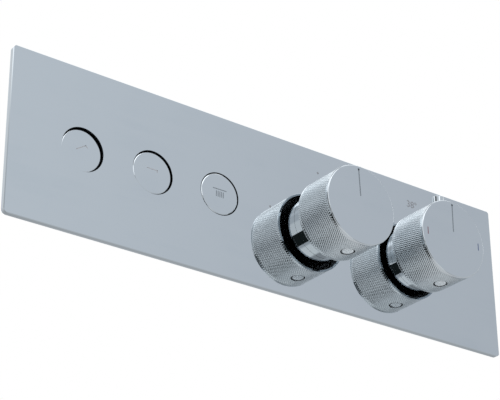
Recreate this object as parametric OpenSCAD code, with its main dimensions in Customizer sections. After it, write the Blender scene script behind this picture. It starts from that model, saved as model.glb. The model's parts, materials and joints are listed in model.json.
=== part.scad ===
// Concealed thermostatic shower valve with three push buttons, a flow knob and a temperature knob.
// X runs to the right along the plate, Z up, and -Y towards the user.
// The origin is the middle of the trim plate's back, on the finished wall.

/* [Trim plate] */
// Width of the trim plate
plate_w = 350; // [336:1:400]
// Height of the trim plate
plate_h = 100; // [96:1:130]
// Thickness of the trim plate
plate_t = 3; // [2.4:0.1:5]
// Radius of the plate's corners
plate_corner_r = 3; // [1.5:0.5:6]
// Chamfer round the plate's front edge
plate_edge = 0.4; // [0.2:0.1:1.2]
// Width of the foam seal in the plate's back
seal_w = 7; // [5:0.5:8]
// Thickness of the foam seal
seal_t = 1.2; // [0.8:0.1:1.6]
// Distance from the plate's edge to the foam seal
seal_margin = 2; // [1.5:0.5:4]

/* [Push buttons] */
// Middle of the left button, measured from the plate's middle
first_button_x = -129.7; // [-134:0.1:-126]
// Distance from one button to the next
button_pitch = 45.3; // [43:0.1:47]
// Radius of the button holes in the plate
button_hole_r = 13.2; // [12:0.1:14]
// Hairline gap between a cap and its hole
button_gap = 0.45; // [0.3:0.05:0.8]
// Full travel of a button, from flush to pressed
button_travel = 4; // [3:0.1:4.4]
// How far the hand shower button sits in at rest
hand_shower_recess = 1.6; // [0:0.05:2]
// How far the bath spout button sits in at rest
bath_spout_recess = 0.9; // [0:0.05:2]
// How far the overhead shower button sits in at rest
overhead_recess = 0.15; // [0:0.05:2]
// Length of a cap, front to back
cap_len = 8.6; // [7:0.1:9]
// Wall of a cap
cap_wall = 1.5; // [1:0.1:2]
// Radius of a button's stem
stem_r = 2.5; // [2:0.1:3]

/* [Knobs] */
// Radius of the knobs
knob_r = 24.85; // [24.4:0.05:28]
// Length of the knobs
knob_len = 27.3; // [25:0.1:32]
// Gap between the plate and the flow knob
flow_gap = 9.4; // [8:0.1:11]
// Gap between the plate and the temperature knob
temperature_gap = 6.4; // [6:0.1:8]
// Middle of the flow knob, measured from the plate's middle
flow_x = 34.7; // [33:0.1:36]
// Middle of the temperature knob, measured from the plate's middle
temperature_x = 109; // [107:0.1:111]
// Chamfer at the knob's front edge
knob_edge = 1.0; // [0.3:0.1:1.2]
// Diamonds round a knob
knurl_count = 60; // [36:1:60]
// Rows of diamonds along a knob
knurl_rows = 10; // [6:1:10]
// Depth of the knurl
knurl_depth = 0.45; // [0.2:0.05:0.6]
// Thickness of the knob's front
knob_front_t = 3.6; // [2.5:0.1:5]
// Radius of the recess in the knob's back
knob_recess_r = 23.6; // [23.2:0.1:23.8]
// Depth of the recess in the knob's back
knob_recess_depth = 8.5; // [8:0.1:9]
// Radius of the plug under the knob
plug_r = 4.1; // [3:0.1:4.5]
// Turn of the flow knob from off to full flow, in degrees
flow_turn = 90; // [60:5:120]
// Turn of the temperature knob from the 38 degree stop to cold, in degrees
cold_turn = 110; // [90:5:150]

/* [Sleeves] */
// Outer radius of the flow sleeve
flow_sleeve_r = 20.2; // [19.9:0.1:20.6]
// Outer radius of the temperature sleeve
temperature_sleeve_r = 20.8; // [20.7:0.1:21.4]
// Wall of the sleeves
sleeve_wall = 1.6; // [1.2:0.1:1.8]
// How far a sleeve reaches into its knob
sleeve_overlap = 4.6; // [3:0.1:5]
// How far a sleeve reaches behind the plate
sleeve_tail = 6; // [5:0.5:8]

/* [Safety button] */
// Radius of the safety button
safety_r = 3.7; // [3:0.1:4]
// How far the safety button stands out of the knob
safety_proud = 7; // [4.5:0.1:8]
// Distance from the knob's front face to the safety button
safety_back = 11.3; // [10.6:0.1:12]
// Travel of the safety button
safety_travel = 3; // [2.6:0.1:3.2]

/* [Valve body] */
// Depth from the wall to the button housings
button_face_y = 16; // [15:0.5:18]
// Depth from the wall to the knob housings
knob_face_y = 10; // [9:0.5:11]
// Radius of a button housing
button_housing_r = 16; // [15:0.5:18]
// Radius of the flow housing
flow_housing_r = 20; // [19:0.5:22]
// Radius of the temperature housing
temperature_housing_r = 25; // [24:0.5:26]
// Depth from the wall to the bracket
bracket_y = 73; // [73:0.5:80]
// Radius of the mixed water gallery behind the buttons
gallery_r = 12; // [11:0.5:14]
// Bore radius of that gallery
gallery_bore_r = 6.5; // [5:0.1:6.8]
// Height of the outlets' mouths above the axis
outlet_top = 46; // [40:0.5:48]
// Depth of the inlets' mouths below the axis
inlet_bottom = 46; // [44:0.5:48]
// Thread radius of the inlets and outlets, half of the 18.63 mm core of a half inch pipe thread
thread_r = 9.315; // [9.315:0.001:9.4]
// Depth of that thread
thread_depth = 14; // [10:0.5:14.5]
// Outer radius of the inlets
boss_r = 14.5; // [13:0.5:15]
// Distance of each inlet from the temperature housing's axis
inlet_offset = 37.1; // [36:0.1:38]

/* [Bracket] */
// Width of the mounting bracket
bracket_w = 320; // [310:1:330]
// Height of the mounting bracket
bracket_h = 86; // [82:1:90]
// Sheet thickness of the bracket
bracket_t = 2; // [1.5:0.5:3]
// Depth of the bracket's folded edges
bracket_lip = 8; // [5:0.5:12]
// Distance between the fixing slots, side to side
fixing_w = 290; // [280:1:294]
// Distance between the fixing slots, top to bottom
fixing_h = 62; // [56:1:64]
// Half width of a fixing slot
fixing_r = 2.75; // [2.5:0.05:3]
// End to end length of a fixing slot
fixing_len = 12; // [8:0.5:14]

/* [Fits] */
// Clearance of a piece that is pushed or screwed into another
fit = 0.1; // [0.05:0.01:0.15]
// Clearance of a piece that turns or slides in another
run = 0.05; // [0.03:0.01:0.08]
// Gap left at a stop
stop_gap = 0.3; // [0.2:0.05:0.4]
// Overrun of a cut
cut = 1; // [0.5:0.5:2]

/* [Hidden] */
$fn = 48;

// The three buttons, as places in the table of recesses
hand_shower = 0;
bath_spout = 1;
overhead = 2;
recesses = [hand_shower_recess, bath_spout_recess, overhead_recess];
function button_x(i) = first_button_x + i * button_pitch;
function cap_front(i) = -plate_t + recesses[i];

// O-rings: depth and width of their grooves, and the slack left in them
groove_depth = 1.5;
groove_w = 2.4;
ring_slack = 0.06;

// Cap of a button
cap_r = button_hole_r - button_gap;
cap_edge = 0.35;
cap_boss_r = 4.6;
cap_boss_len = 5.4;

// Cartridge of a button, and the guide screwed on its neck
flange_t = 3;
flange_r = 14.6;
flange_y = button_face_y - flange_t;
cartridge_neck_r = 9.6;
cartridge_neck_len = 4;
cartridge_len = 10.5;
cartridge_ring_back = 2.4;
cartridge_ring_y = button_face_y + cartridge_ring_back;
guide_wall = 1.9;
guide_floor = 2;
guide_front = stop_gap;

// Inside of a button housing
chamber_r = 11;
chamber_depth = 20;
seat_y = button_face_y + chamber_depth;
seat_r = 6;
seat_to_gallery = 12;
gallery_y = seat_y + seat_to_gallery;
gallery_end_wall = 4;
housing_back_wall = 3;
outlet_before_seat = 7;
outlet_y = seat_y - outlet_before_seat;
outlet_bore_r = 6.3;
outlet_r = 12.4;

// Stem of a button and the washer that closes its seat
stem_hole_r = stem_r + run;
washer_r = 8.4;
washer_t = 3;
washer_plate_r = 7.4;
washer_plate_t = 1.5;
stem_head_r = 3.6;
stem_head_t = 2;
washer_back = seat_y - stop_gap - button_travel;
button_spring_wire = 0.5;
button_spring_mid_r = 6.4;

// Insides of a knob
hub_r = 13;
hub_bore_r = 9.5;
pocket_r = 21.4;
web_t = 6;
web_spread = 120;
rear_edge = 0.4;
front_rim = 0.8;
rear_rim = 0.8;
insert_flange_t = 1.5;
insert_boss_r = 10.4;
insert_boss_len = 2.6;
insert_wall_slack = 0.2;
grub_r = 2;
grub_socket_r = 1;
grub_socket_depth = 2.5;
grub_sink = 0.6;
grub_outer = hub_r - grub_sink;
plug_sink = 1.3;
plug_t = 1.5;
plug_stem_r = 1.6;
plug_stem_len = 2.4;

// Splines between an insert and its spindle
spline_r = 4.3;
spline_tooth = 1.1;
spline_rise = 0.7;
spline_teeth = 12;
spline_slack = 0.12;
spline_tip_gap = 0.5;

// Seats in both knob housings
nut_thread_len = 9;
nut_depth = 12;
nut_head_front = -2;
ledge_y = knob_face_y + nut_depth;
shoulder_y = knob_face_y + nut_thread_len;
neck_front = -12.6;
mix_y0 = 57;
mix_y1 = 69;

// Flow cartridge
flow_nut_r = 16;
flow_neck_r = 9;
flow_bore_r = 13.5;
flow_spindle_r = 4.7;
flow_cavity_r = 9.6;
flow_cavity_y = 31;
flow_waist_r = 11.8;
flow_waist_y0 = 37;
flow_waist_y1 = 50;
flow_end_y = 53;
flow_seal_t = 2;
flow_seal_hole_r = 8;
flow_port_r = 7.5;
flow_ring_y = 27;
flow_mix_r = 14;
window_r = 2.8;
window_y = 41;
windows = 4;
disc_t = 3.2;
disc_port_r = 2.4;
disc_port_at = 5.2;
disc_slot_w = 3;
disc_slot_depth = 1.2;
carrier_t = 3.4;

// Cross gallery from the temperature housing to the flow housing
cross_y = 63;
cross_z = 10;
cross_r = 9.2;
cross_bore_r = 5.2;

// Thermostatic cartridge
thermo_nut_r = 21;
thermo_neck_r = 10.9;
thermo_front_r = 18.5;
thermo_rear_r = 17;
thermo_step_y = 44;
thermo_ledge_y = 58;
thermo_mix_r = 15;
thermo_shaft_r = 7.1;
thermo_shaft_y = 4;
carrier_bore_r = 9.5;
carrier_bore_y = 32;
spool_bore_r = 13;
cold_window_y = 35.5;
hot_window_y = 50;
thermo_window_r = 2.2;
thermo_windows = 8;
cold_groove_w = 9;
hot_groove_w = 7;
cold_groove_r = 16.2;
hot_groove_r = 15.2;
thermo_ring_ys = [26, 42, 55.8];
end_ring_t = 2;
end_ring_hole_r = 7;

// Temperature spindle and the shuttle that it drives along the axis
lead = 6;
shuttle_travel = lead * cold_turn / 360;
spindle_flange_t = 1.8;
spindle_thread_r = 5;
spindle_end_y = 18;
carrier_y0 = 7;
carrier_y1 = carrier_bore_y - shuttle_travel - fit;
carrier_floor_y = 18.6;
carrier_pocket_r = 7.7;
key_w = 2.2;
key_h = 0.7;
overload_wire = 0.6;
overload_mid_r = 6.6;
piston_r = 2;
piston_head_r = 7.4;
piston_head_t = 2;
piston_head_y = 28;
element_flange_r = 9;
element_flange_t = 2;
element_r = 5.8;
element_y0 = 36;
element_y1 = 54;
spool_y0 = 38;
spool_y1 = 47.5;
spool_wall = 2.1;
spool_web_t = 2;
spool_hole_r = 1.2;
spool_hole_at = 8.3;
spool_holes = 8;
return_wire = 0.7;
return_mid_r = 7.9;

// Safety stop
stop_ring_wall = 1.3;
stop_ring_y0 = -11;
stop_ring_y1 = -5;
stop_flange_t = 1.2;
stop_flange_r = 18;
lug_r0 = 15;
lug_len = 4;
lug_deg = 10;
foot_w = 4;
foot_t = 1.5;
foot_top = 17.7;
foot_end_y = -7.4;
foot_gap_deg = 1.4;
catch_top = 20.4;
catch_w = 8;
catch_before = 5.2;
safety_edge = 0.4;
safety_stem_r = 1.4;
safety_spring_wire = 0.4;
safety_spring_mid_r = 2.3;
slot_slack = 0.35;

// Inlets and the check valves in them
inlet_dirs = [-1, 1];
inlet_cold_y = 36;
inlet_ys = [hot_window_y, inlet_cold_y];
inlet_top = 5;
inlet_chamber_r = 8.4;
inlet_chamber_top = -1;
inlet_pass_z = -8;
inlet_pass_r = 5.4;
inlet_pass_wall = 4;
strainer_t = 1;
strainer_hole_r = 0.8;
strainer_rings = 3;
strainer_pitch = 2.4;
check_len = 16;
check_wall = 1.9;
check_seat_r = 4.6;
check_seat_t = 2;
check_spider_t = 2;
check_spoke_w = 1.8;
check_hub_r = 3;
poppet_r = 5.7;
poppet_t = 1.6;
poppet_stem_r = 1.4;
poppet_stem_over = 1;
check_spring_wire = 0.4;
check_spring_mid_r = 2.4;

// Feet of the body and the screws to the bracket
foot_block_w = 16;
foot_block_h = 46;
foot_block_y = 50;
body_screw_r = 2.5;
body_screw_at = 17.5;
screw_head_r = 4.4;
screw_head_t = 3.4;
screw_socket_r = 2;
screw_socket_depth = 2;

// Bracket
relief_r = 10;
relief_pitch = 54;
relief_count = 5;

// Springs: sides of the wire and steps in a turn
wire_sides = 6;
turn_steps = 8;

// Places its children with their own Z pointing into the wall, at x on the plate.
// Their own Y then points down.
module facing(x, z = 0) {
    translate([x, 0, z])
        rotate([-90, 0, 0])
            children();
}

// Places its children on a spoke of the local Z axis: 90 degrees is down, 270 is up.
module spoke(angle, y) {
    translate([0, 0, y])
        rotate([0, 0, angle])
            rotate([0, 90, 0])
                children();
}

module rod(z0, z1, r) {
    translate([0, 0, z0])
        cylinder(h = z1 - z0, r = r);
}

module ring(z0, z1, r_out, r_in) {
    difference() {
        rod(z0, z1, r_out);
        rod(z0 - cut, z1 + cut, r_in);
    }
}

// Turned piece with a bore right through, from steps of [start, end, radius]
module stepped(steps) {
    for (s = steps)
        rod(s[0], s[1], s[2]);
}

// Front of a turned piece with a chamfer round it
module chamfered(z0, z1, r, edge) {
    rotate_extrude()
        polygon([[0, z0], [r - edge, z0], [r, z0 + edge], [r, z1], [0, z1]]);
}

module o_ring(y, r_bore, r_groove) {
    translate([0, 0, y])
        rotate_extrude()
            translate([(r_bore + r_groove) / 2, 0])
                circle(r = (r_bore - r_groove) / 2 - ring_slack, $fn = 24);
}

// Groove for an O-ring, to be cut from a cylinder of radius r
module o_groove(y, r) {
    ring(y - groove_w / 2, y + groove_w / 2, r + cut, r - groove_depth);
}

// Compression spring between z0 and z1, its ends drawn in to a closed coil
module spring(z0, z1, mid_r, wire, turns) {
    steps = turns * turn_steps;
    low = z0 + wire;
    high = z1 - wire;
    points = [
        for (i = [0:steps])
            let (
                a = 360 * i / turn_steps,
                z = low + (high - low) * i / steps
            )
            for (k = [0:wire_sides - 1])
                let (
                    b = 360 * k / wire_sides,
                    r = mid_r + wire * cos(b)
                )
                [r * cos(a), r * sin(a), z + wire * sin(b)]
    ];
    sides = [
        for (i = [0:steps - 1])
            for (k = [0:wire_sides - 1])
                let (
                    p = i * wire_sides + k,
                    q = i * wire_sides + (k + 1) % wire_sides
                )
                each [[p, q, q + wire_sides], [p, q + wire_sides, p + wire_sides]]
    ];
    first = [for (k = [1:wire_sides - 2]) [0, k + 1, k]];
    last_start = steps * wire_sides;
    last = [for (k = [1:wire_sides - 2]) [last_start, last_start + k, last_start + k + 1]];
    polyhedron(points = points, faces = concat(sides, first, last));
}

module spline_outline(slack) {
    circle(r = spline_r + slack);
    for (k = [0:spline_teeth - 1])
        rotate(360 * k / spline_teeth)
            translate([0, -spline_tooth / 2 - slack])
                square([spline_r + spline_rise + slack, spline_tooth + 2 * slack]);
}

module splined(z0, z1, slack = 0) {
    translate([0, 0, z0])
        linear_extrude(height = z1 - z0)
            spline_outline(slack);
}

module rounded_rect(w, h, r) {
    for (x = [-w / 2 + r, w / 2 - r])
        for (y = [-h / 2 + r, h / 2 - r])
            translate([x, y])
                circle(r = r);
    square([w, h - 2 * r], center = true);
    square([w - 2 * r, h], center = true);
}

// Bar whose long front edges are chamfered, as wide as w and as long as l
module chamfered_bar(w, l) {
    translate([0, 0, -l / 2])
        linear_extrude(height = l)
            polygon([
                [-w / 2, 0], [w / 2, 0], [w / 2, -plate_t + plate_edge], [w / 2 - plate_edge, -plate_t],
                [-w / 2 + plate_edge, -plate_t], [-w / 2, -plate_t + plate_edge]
            ]);
}

module seal_outline(slack) {
    w = plate_w - 2 * seal_margin;
    h = plate_h - 2 * seal_margin;
    difference() {
        square([w - 2 * slack, h - 2 * slack], center = true);
        square([w - 2 * seal_w + 2 * slack, h - 2 * seal_w + 2 * slack], center = true);
    }
}

module trim_plate() {
    color("lightsteelblue")
        difference() {
            intersection() {
                facing(0)
                    translate([0, 0, -plate_t])
                        linear_extrude(height = plate_t)
                            rounded_rect(plate_w, plate_h, plate_corner_r);
                chamfered_bar(plate_w, plate_h + cut);
                rotate([0, 90, 0])
                    chamfered_bar(plate_h, plate_w + cut);
            }
            for (i = [hand_shower:overhead])
                facing(button_x(i))
                    rod(-plate_t - cut, cut, button_hole_r);
            facing(flow_x)
                rod(-plate_t - cut, cut, flow_sleeve_r + fit);
            facing(temperature_x)
                rod(-plate_t - cut, cut, temperature_sleeve_r + fit);
            facing(0)
                translate([0, 0, -seal_t])
                    linear_extrude(height = seal_t + cut)
                        seal_outline(0);
        }
}

module plate_seal() {
    color("dimgray")
        facing(0)
            translate([0, 0, -seal_t + fit])
                linear_extrude(height = seal_t - fit)
                    seal_outline(fit);
}

// Cup with a clip for the stem, open at the back
module button_cap(i) {
    y = cap_front(i);
    color("gainsboro")
        facing(button_x(i)) {
            difference() {
                chamfered(y, y + cap_len, cap_r, cap_edge);
                rod(y + cap_wall, y + cap_len + cut, cap_r - cap_wall);
            }
            ring(y + cap_wall, y + cap_boss_len, cap_boss_r, stem_r + fit);
        }
}

module button_stem(i) {
    back = washer_back + recesses[i];
    color("whitesmoke")
        facing(button_x(i)) {
            rod(cap_front(i) + cap_wall, back + stem_head_t, stem_r);
            rod(back - washer_t - washer_plate_t, back - washer_t, washer_plate_r);
            rod(back, back + stem_head_t, stem_head_r);
        }
}

module button_washer(i) {
    back = washer_back + recesses[i];
    color("black")
        facing(button_x(i))
            ring(back - washer_t, back, washer_r, stem_r);
}

module button_spring(i) {
    color("silver")
        facing(button_x(i))
            spring(
                cap_front(i) + cap_wall, flange_y - cartridge_neck_len,
                button_spring_mid_r, button_spring_wire, 4
            );
}

module button_cartridge(i) {
    color("goldenrod")
        facing(button_x(i))
            difference() {
                union() {
                    rod(flange_y - cartridge_neck_len, flange_y, cartridge_neck_r);
                    rod(flange_y, button_face_y, flange_r);
                    rod(button_face_y, button_face_y + cartridge_len, chamber_r - fit);
                }
                rod(flange_y - cartridge_neck_len - cut, button_face_y + cartridge_len + cut, stem_hole_r);
                o_groove(cartridge_ring_y, chamber_r - fit);
            }
}

// Collars behind the plate that the caps slide in
module button_guides() {
    color("#2b2b2b")
        for (i = [hand_shower:overhead])
            facing(button_x(i)) {
                ring(guide_front, flange_y, button_hole_r + guide_wall, button_hole_r);
                ring(flange_y - guide_floor, flange_y, button_hole_r + guide_wall, cartridge_neck_r + fit);
            }
}

module button_cartridge_rings() {
    color("black")
        for (i = [hand_shower:overhead])
            facing(button_x(i))
                o_ring(cartridge_ring_y, chamber_r, chamber_r - fit - groove_depth);
}

function knob_rear(gap) = -plate_t - gap;
function knob_front(gap) = knob_rear(gap) - knob_len;
function recess_floor(gap) = knob_rear(gap) - knob_recess_depth;

// Tube between the plate and a knob
module sleeve(x, r, gap) {
    front = knob_rear(gap) - sleeve_overlap;
    facing(x)
        ring(front, sleeve_tail, r, r - sleeve_wall);
}

module flow_sleeve() {
    color("lightsteelblue")
        sleeve(flow_x, flow_sleeve_r, flow_gap);
}

module temperature_sleeve() {
    color("lightsteelblue")
        sleeve(temperature_x, temperature_sleeve_r, temperature_gap);
}

// Rings round the sleeves that hold the plate on the valve
module sleeve_rings() {
    color("black") {
        facing(flow_x)
            o_ring(groove_w / 2, flow_sleeve_r + groove_w, flow_sleeve_r);
        facing(temperature_x)
            o_ring(groove_w / 2, temperature_sleeve_r + groove_w, temperature_sleeve_r);
    }
}

// Webs between a knob's hub and its rim: one under the plug, the others a third of a turn away
module knob_pocket(y0, y1) {
    translate([0, 0, y0])
        linear_extrude(height = y1 - y0)
            difference() {
                circle(r = pocket_r);
                circle(r = hub_r);
                for (k = [0:2])
                    rotate(90 + k * web_spread)
                        translate([0, -web_t / 2])
                            square([pocket_r + cut, web_t]);
            }
}

// Band of diamonds: every second point of the grid stands out, the grooves run between the others
module knurl_band(z0, z1, r_out, depth) {
    columns = 2 * knurl_count;
    rows = 2 * knurl_rows;
    points = [
        for (j = [0:rows])
            for (i = [0:columns - 1])
                let (
                    raised = (i + j) % 2 == 1 && j > 0 && j < rows,
                    r = raised ? r_out : r_out - depth,
                    a = 360 * i / columns
                )
                [r * cos(a), r * sin(a), z0 + (z1 - z0) * j / rows]
    ];
    sides = [
        for (j = [0:rows - 1])
            for (i = [0:columns - 1])
                let (
                    a = j * columns + i,
                    b = j * columns + (i + 1) % columns,
                    c = b + columns,
                    d = a + columns
                )
                each (i + j) % 2 == 0 ? [[a, c, b], [a, d, c]] : [[a, d, b], [b, d, c]]
    ];
    first = [for (i = [0:columns - 1]) i];
    last = [for (i = [columns - 1:-1:0]) rows * columns + i];
    polyhedron(points = points, faces = concat([first, last], sides));
}

module knob_shell(gap) {
    front = knob_front(gap);
    rear = knob_rear(gap);
    back = recess_floor(gap);
    inner = front + knob_front_t;
    middle = (front + rear) / 2;
    difference() {
        union() {
            chamfered(front, front + knob_edge + front_rim, knob_r, knob_edge);
            knurl_band(front + knob_edge + front_rim, rear - rear_edge - rear_rim, knob_r, knurl_depth);
            rotate_extrude()
                polygon([
                    [0, rear - rear_edge - rear_rim], [knob_r, rear - rear_edge - rear_rim],
                    [knob_r, rear - rear_edge], [knob_r - rear_edge, rear], [0, rear]
                ]);
        }
        rod(back, rear + cut, knob_recess_r);
        rod(inner, back + cut, hub_bore_r);
        knob_pocket(inner, back + cut);
        spoke(90, middle) {
            rod(knob_r - plug_t - plug_sink, knob_r + cut, plug_r + fit);
            rod(hub_bore_r - cut, knob_r, grub_r + fit);
        }
    }
}

module knob_insert(gap) {
    front = knob_front(gap) + knob_front_t + insert_wall_slack;
    back = recess_floor(gap);
    middle = knob_rear(gap) - knob_len / 2;
    flange_back = back + insert_flange_t;
    difference() {
        union() {
            rod(front, back, hub_bore_r - fit);
            rod(back, flange_back, knob_recess_r - fit);
            rod(flange_back, flange_back + insert_boss_len, insert_boss_r);
        }
        splined(
            front + insert_wall_slack + spline_tip_gap,
            flange_back + insert_boss_len + cut,
            spline_slack
        );
        spoke(90, middle)
            rod(0, hub_r, grub_r + fit);
    }
}

// Screw under the plug that presses on the spindle
module grub_screw(gap) {
    tip = spline_r + spline_rise + fit;
    spoke(90, knob_rear(gap) - knob_len / 2)
        difference() {
            rod(tip, grub_outer, grub_r);
            translate([0, 0, grub_outer - grub_socket_depth])
                cylinder(h = grub_socket_depth + cut, r = grub_socket_r, $fn = 6);
        }
}

module knob_plug(gap) {
    top = knob_r - plug_sink;
    spoke(90, knob_rear(gap) - knob_len / 2) {
        translate([0, 0, top - plug_t])
            cylinder(h = plug_t, r = plug_r);
        rod(top - plug_t - plug_stem_len, top - plug_t, plug_stem_r);
    }
}

module flow_knob() {
    color("silver")
        facing(flow_x)
            knob_shell(flow_gap);
}

module flow_knob_insert() {
    color("#1c1c1c")
        facing(flow_x)
            knob_insert(flow_gap);
}

module flow_grub_screw() {
    color("dimgray")
        facing(flow_x)
            grub_screw(flow_gap);
}

module flow_knob_plug() {
    color("gainsboro")
        facing(flow_x)
            knob_plug(flow_gap);
}

// Threaded ring that clamps a cartridge and carries the sleeve on its head
module cartridge_nut(x, thread, neck, head) {
    color("goldenrod")
        facing(x)
            difference() {
                union() {
                    rod(nut_head_front, knob_face_y, head);
                    rod(knob_face_y, shoulder_y, thread - fit);
                }
                rod(nut_head_front - cut, shoulder_y + cut, neck + fit);
            }
}

module flow_cartridge_nut() {
    cartridge_nut(flow_x, flow_nut_r, flow_neck_r, flow_sleeve_r - sleeve_wall - fit);
}

module flow_cartridge() {
    wall_r = flow_bore_r - fit;
    color("goldenrod")
        facing(flow_x)
            difference() {
                union() {
                    rod(neck_front, shoulder_y, flow_neck_r);
                    rod(shoulder_y, ledge_y, flow_nut_r - fit);
                    rod(ledge_y, flow_end_y, wall_r);
                }
                rod(neck_front - cut, flow_cavity_y + cut, flow_spindle_r + run);
                rod(flow_cavity_y, flow_end_y + cut, flow_cavity_r);
                ring(flow_waist_y0, flow_waist_y1, wall_r + cut, flow_waist_r);
                o_groove(flow_ring_y, wall_r);
                for (k = [0:windows - 1])
                    spoke(45 + 360 * k / windows, window_y)
                        rod(flow_cavity_r - cut, wall_r + cut, window_r);
            }
}

// Two ports through a ceramic disc
module disc_ports(y0, y1, angle) {
    rotate(angle)
        for (side = [-1, 1])
            translate([side * disc_port_at, 0, 0])
                rod(y0 - cut, y1 + cut, disc_port_r);
}

module flow_fixed_disc() {
    y0 = flow_end_y - disc_t;
    color("white")
        facing(flow_x)
            difference() {
                rod(y0, flow_end_y, flow_cavity_r - fit);
                disc_ports(y0, flow_end_y, 90);
            }
}

// Upper disc, turned by the tongue of the spindle; its ports meet the lower ones at full flow
module flow_moving_disc() {
    y1 = flow_end_y - disc_t - run;
    y0 = y1 - disc_t;
    color("white")
        facing(flow_x)
            difference() {
                rod(y0, y1, flow_cavity_r - fit);
                disc_ports(y0, y1, 90 + flow_turn);
                translate([-disc_slot_w / 2, -flow_cavity_r, y0 - cut])
                    cube([disc_slot_w, 2 * flow_cavity_r, disc_slot_depth + cut]);
            }
}

module flow_spindle() {
    disc_y = flow_end_y - 2 * disc_t - run;
    splines_y = knob_front(flow_gap) + knob_front_t + 2 * insert_wall_slack + 2 * spline_tip_gap;
    tongue_w = disc_slot_w - 2 * fit;
    tongue_r = flow_cavity_r - 2 * fit;
    color("goldenrod")
        facing(flow_x) {
            splined(splines_y, neck_front);
            rod(neck_front, disc_y - carrier_t, flow_spindle_r);
            rod(disc_y - carrier_t, disc_y, tongue_r);
            intersection() {
                translate([-tongue_w / 2, -tongue_r, disc_y - fit])
                    cube([tongue_w, 2 * tongue_r, disc_slot_depth]);
                rod(disc_y - cut, disc_y + disc_slot_depth, tongue_r);
            }
        }
}

// Rubber seat between the fixed disc and the body
module flow_seat_seal() {
    color("black")
        facing(flow_x)
            ring(flow_end_y, flow_end_y + flow_seal_t, flow_bore_r - fit, flow_seal_hole_r);
}

module temperature_knob() {
    color("silver")
        facing(temperature_x)
            difference() {
                knob_shell(temperature_gap);
                spoke(270, knob_front(temperature_gap) + safety_back)
                    rod(pocket_r - cut, knob_r + cut, safety_r + fit);
            }
}

module temperature_knob_insert() {
    back = recess_floor(temperature_gap);
    top = catch_top + slot_slack;
    bottom = foot_top - foot_t - safety_travel - slot_slack;
    width = foot_w + 2 * slot_slack;
    color("#1c1c1c")
        facing(temperature_x)
            difference() {
                knob_insert(temperature_gap);
                translate([-width / 2, -top, back - cut])
                    cube([width, top - bottom, insert_flange_t + 2 * cut]);
            }
}

module temperature_grub_screw() {
    color("dimgray")
        facing(temperature_x)
            grub_screw(temperature_gap);
}

module temperature_knob_plug() {
    color("gainsboro")
        facing(temperature_x)
            knob_plug(temperature_gap);
}

function safety_y() = knob_front(temperature_gap) + safety_back;

// Push piece on top of the temperature knob, with the stem that carries the catch
module safety_button() {
    color("gainsboro")
        facing(temperature_x)
            spoke(270, safety_y()) {
                top = knob_r + safety_proud;
                rotate_extrude()
                    polygon([
                        [0, catch_top], [safety_r, catch_top], [safety_r, top - safety_edge],
                        [safety_r - safety_edge, top], [0, top]
                    ]);
                rod(catch_top - foot_t, catch_top, safety_stem_r);
            }
}

// Lever under the button whose foot meets the lugs of the stop ring
module safety_catch() {
    y = safety_y();
    leg_y = recess_floor(temperature_gap) - foot_t;
    color("whitesmoke")
        facing(temperature_x) {
            difference() {
                translate([-catch_w / 2, -catch_top, y - catch_before])
                    cube([catch_w, foot_t, leg_y + foot_t - y + catch_before]);
                spoke(270, y)
                    rod(0, knob_r, safety_stem_r + run);
            }
            translate([-foot_w / 2, -catch_top, leg_y])
                cube([foot_w, catch_top - foot_top + foot_t, foot_t]);
            translate([-foot_w / 2, -foot_top, leg_y])
                cube([foot_w, foot_t, foot_end_y - leg_y]);
        }
}

module safety_spring() {
    color("silver")
        facing(temperature_x)
            spoke(270, safety_y())
                spring(hub_r, catch_top - foot_t, safety_spring_mid_r, safety_spring_wire, 3);
}

// Lug of the stop ring, starting at an angle and running on from there
module stop_lug(start) {
    translate([0, 0, stop_ring_y1 - stop_flange_t - lug_len])
        linear_extrude(height = lug_len)
            intersection() {
                difference() {
                    circle(r = stop_flange_r);
                    circle(r = lug_r0);
                }
                rotate(start)
                    polygon([
                        [0, 0], [2 * stop_flange_r, 0],
                        [2 * stop_flange_r, 2 * stop_flange_r * tan(lug_deg)]
                    ]);
            }
}

module stop_ring() {
    foot_deg = asin(foot_w / 2 / (foot_top - foot_t)) + foot_gap_deg;
    inner = thermo_neck_r + fit;
    color("white")
        facing(temperature_x) {
            ring(stop_ring_y0, stop_ring_y1, inner + stop_ring_wall, inner);
            ring(stop_ring_y1 - stop_flange_t, stop_ring_y1, stop_flange_r, inner);
            stop_lug(270 - foot_deg - lug_deg);
            stop_lug(270 + cold_turn + foot_deg);
        }
}

module thermostat_cartridge_nut() {
    cartridge_nut(
        temperature_x, thermo_nut_r, thermo_neck_r, temperature_sleeve_r - sleeve_wall - fit
    );
}

// Ring of ports through the wall of the thermostatic cartridge, with the groove that feeds them
module thermo_ports(y, groove_width, groove_floor, wall) {
    ring(y - groove_width / 2, y + groove_width / 2, wall + cut, groove_floor);
    for (k = [0:thermo_windows - 1])
        spoke(360 * k / thermo_windows, y)
            rod(spool_bore_r - cut, wall + cut, thermo_window_r);
}

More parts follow.
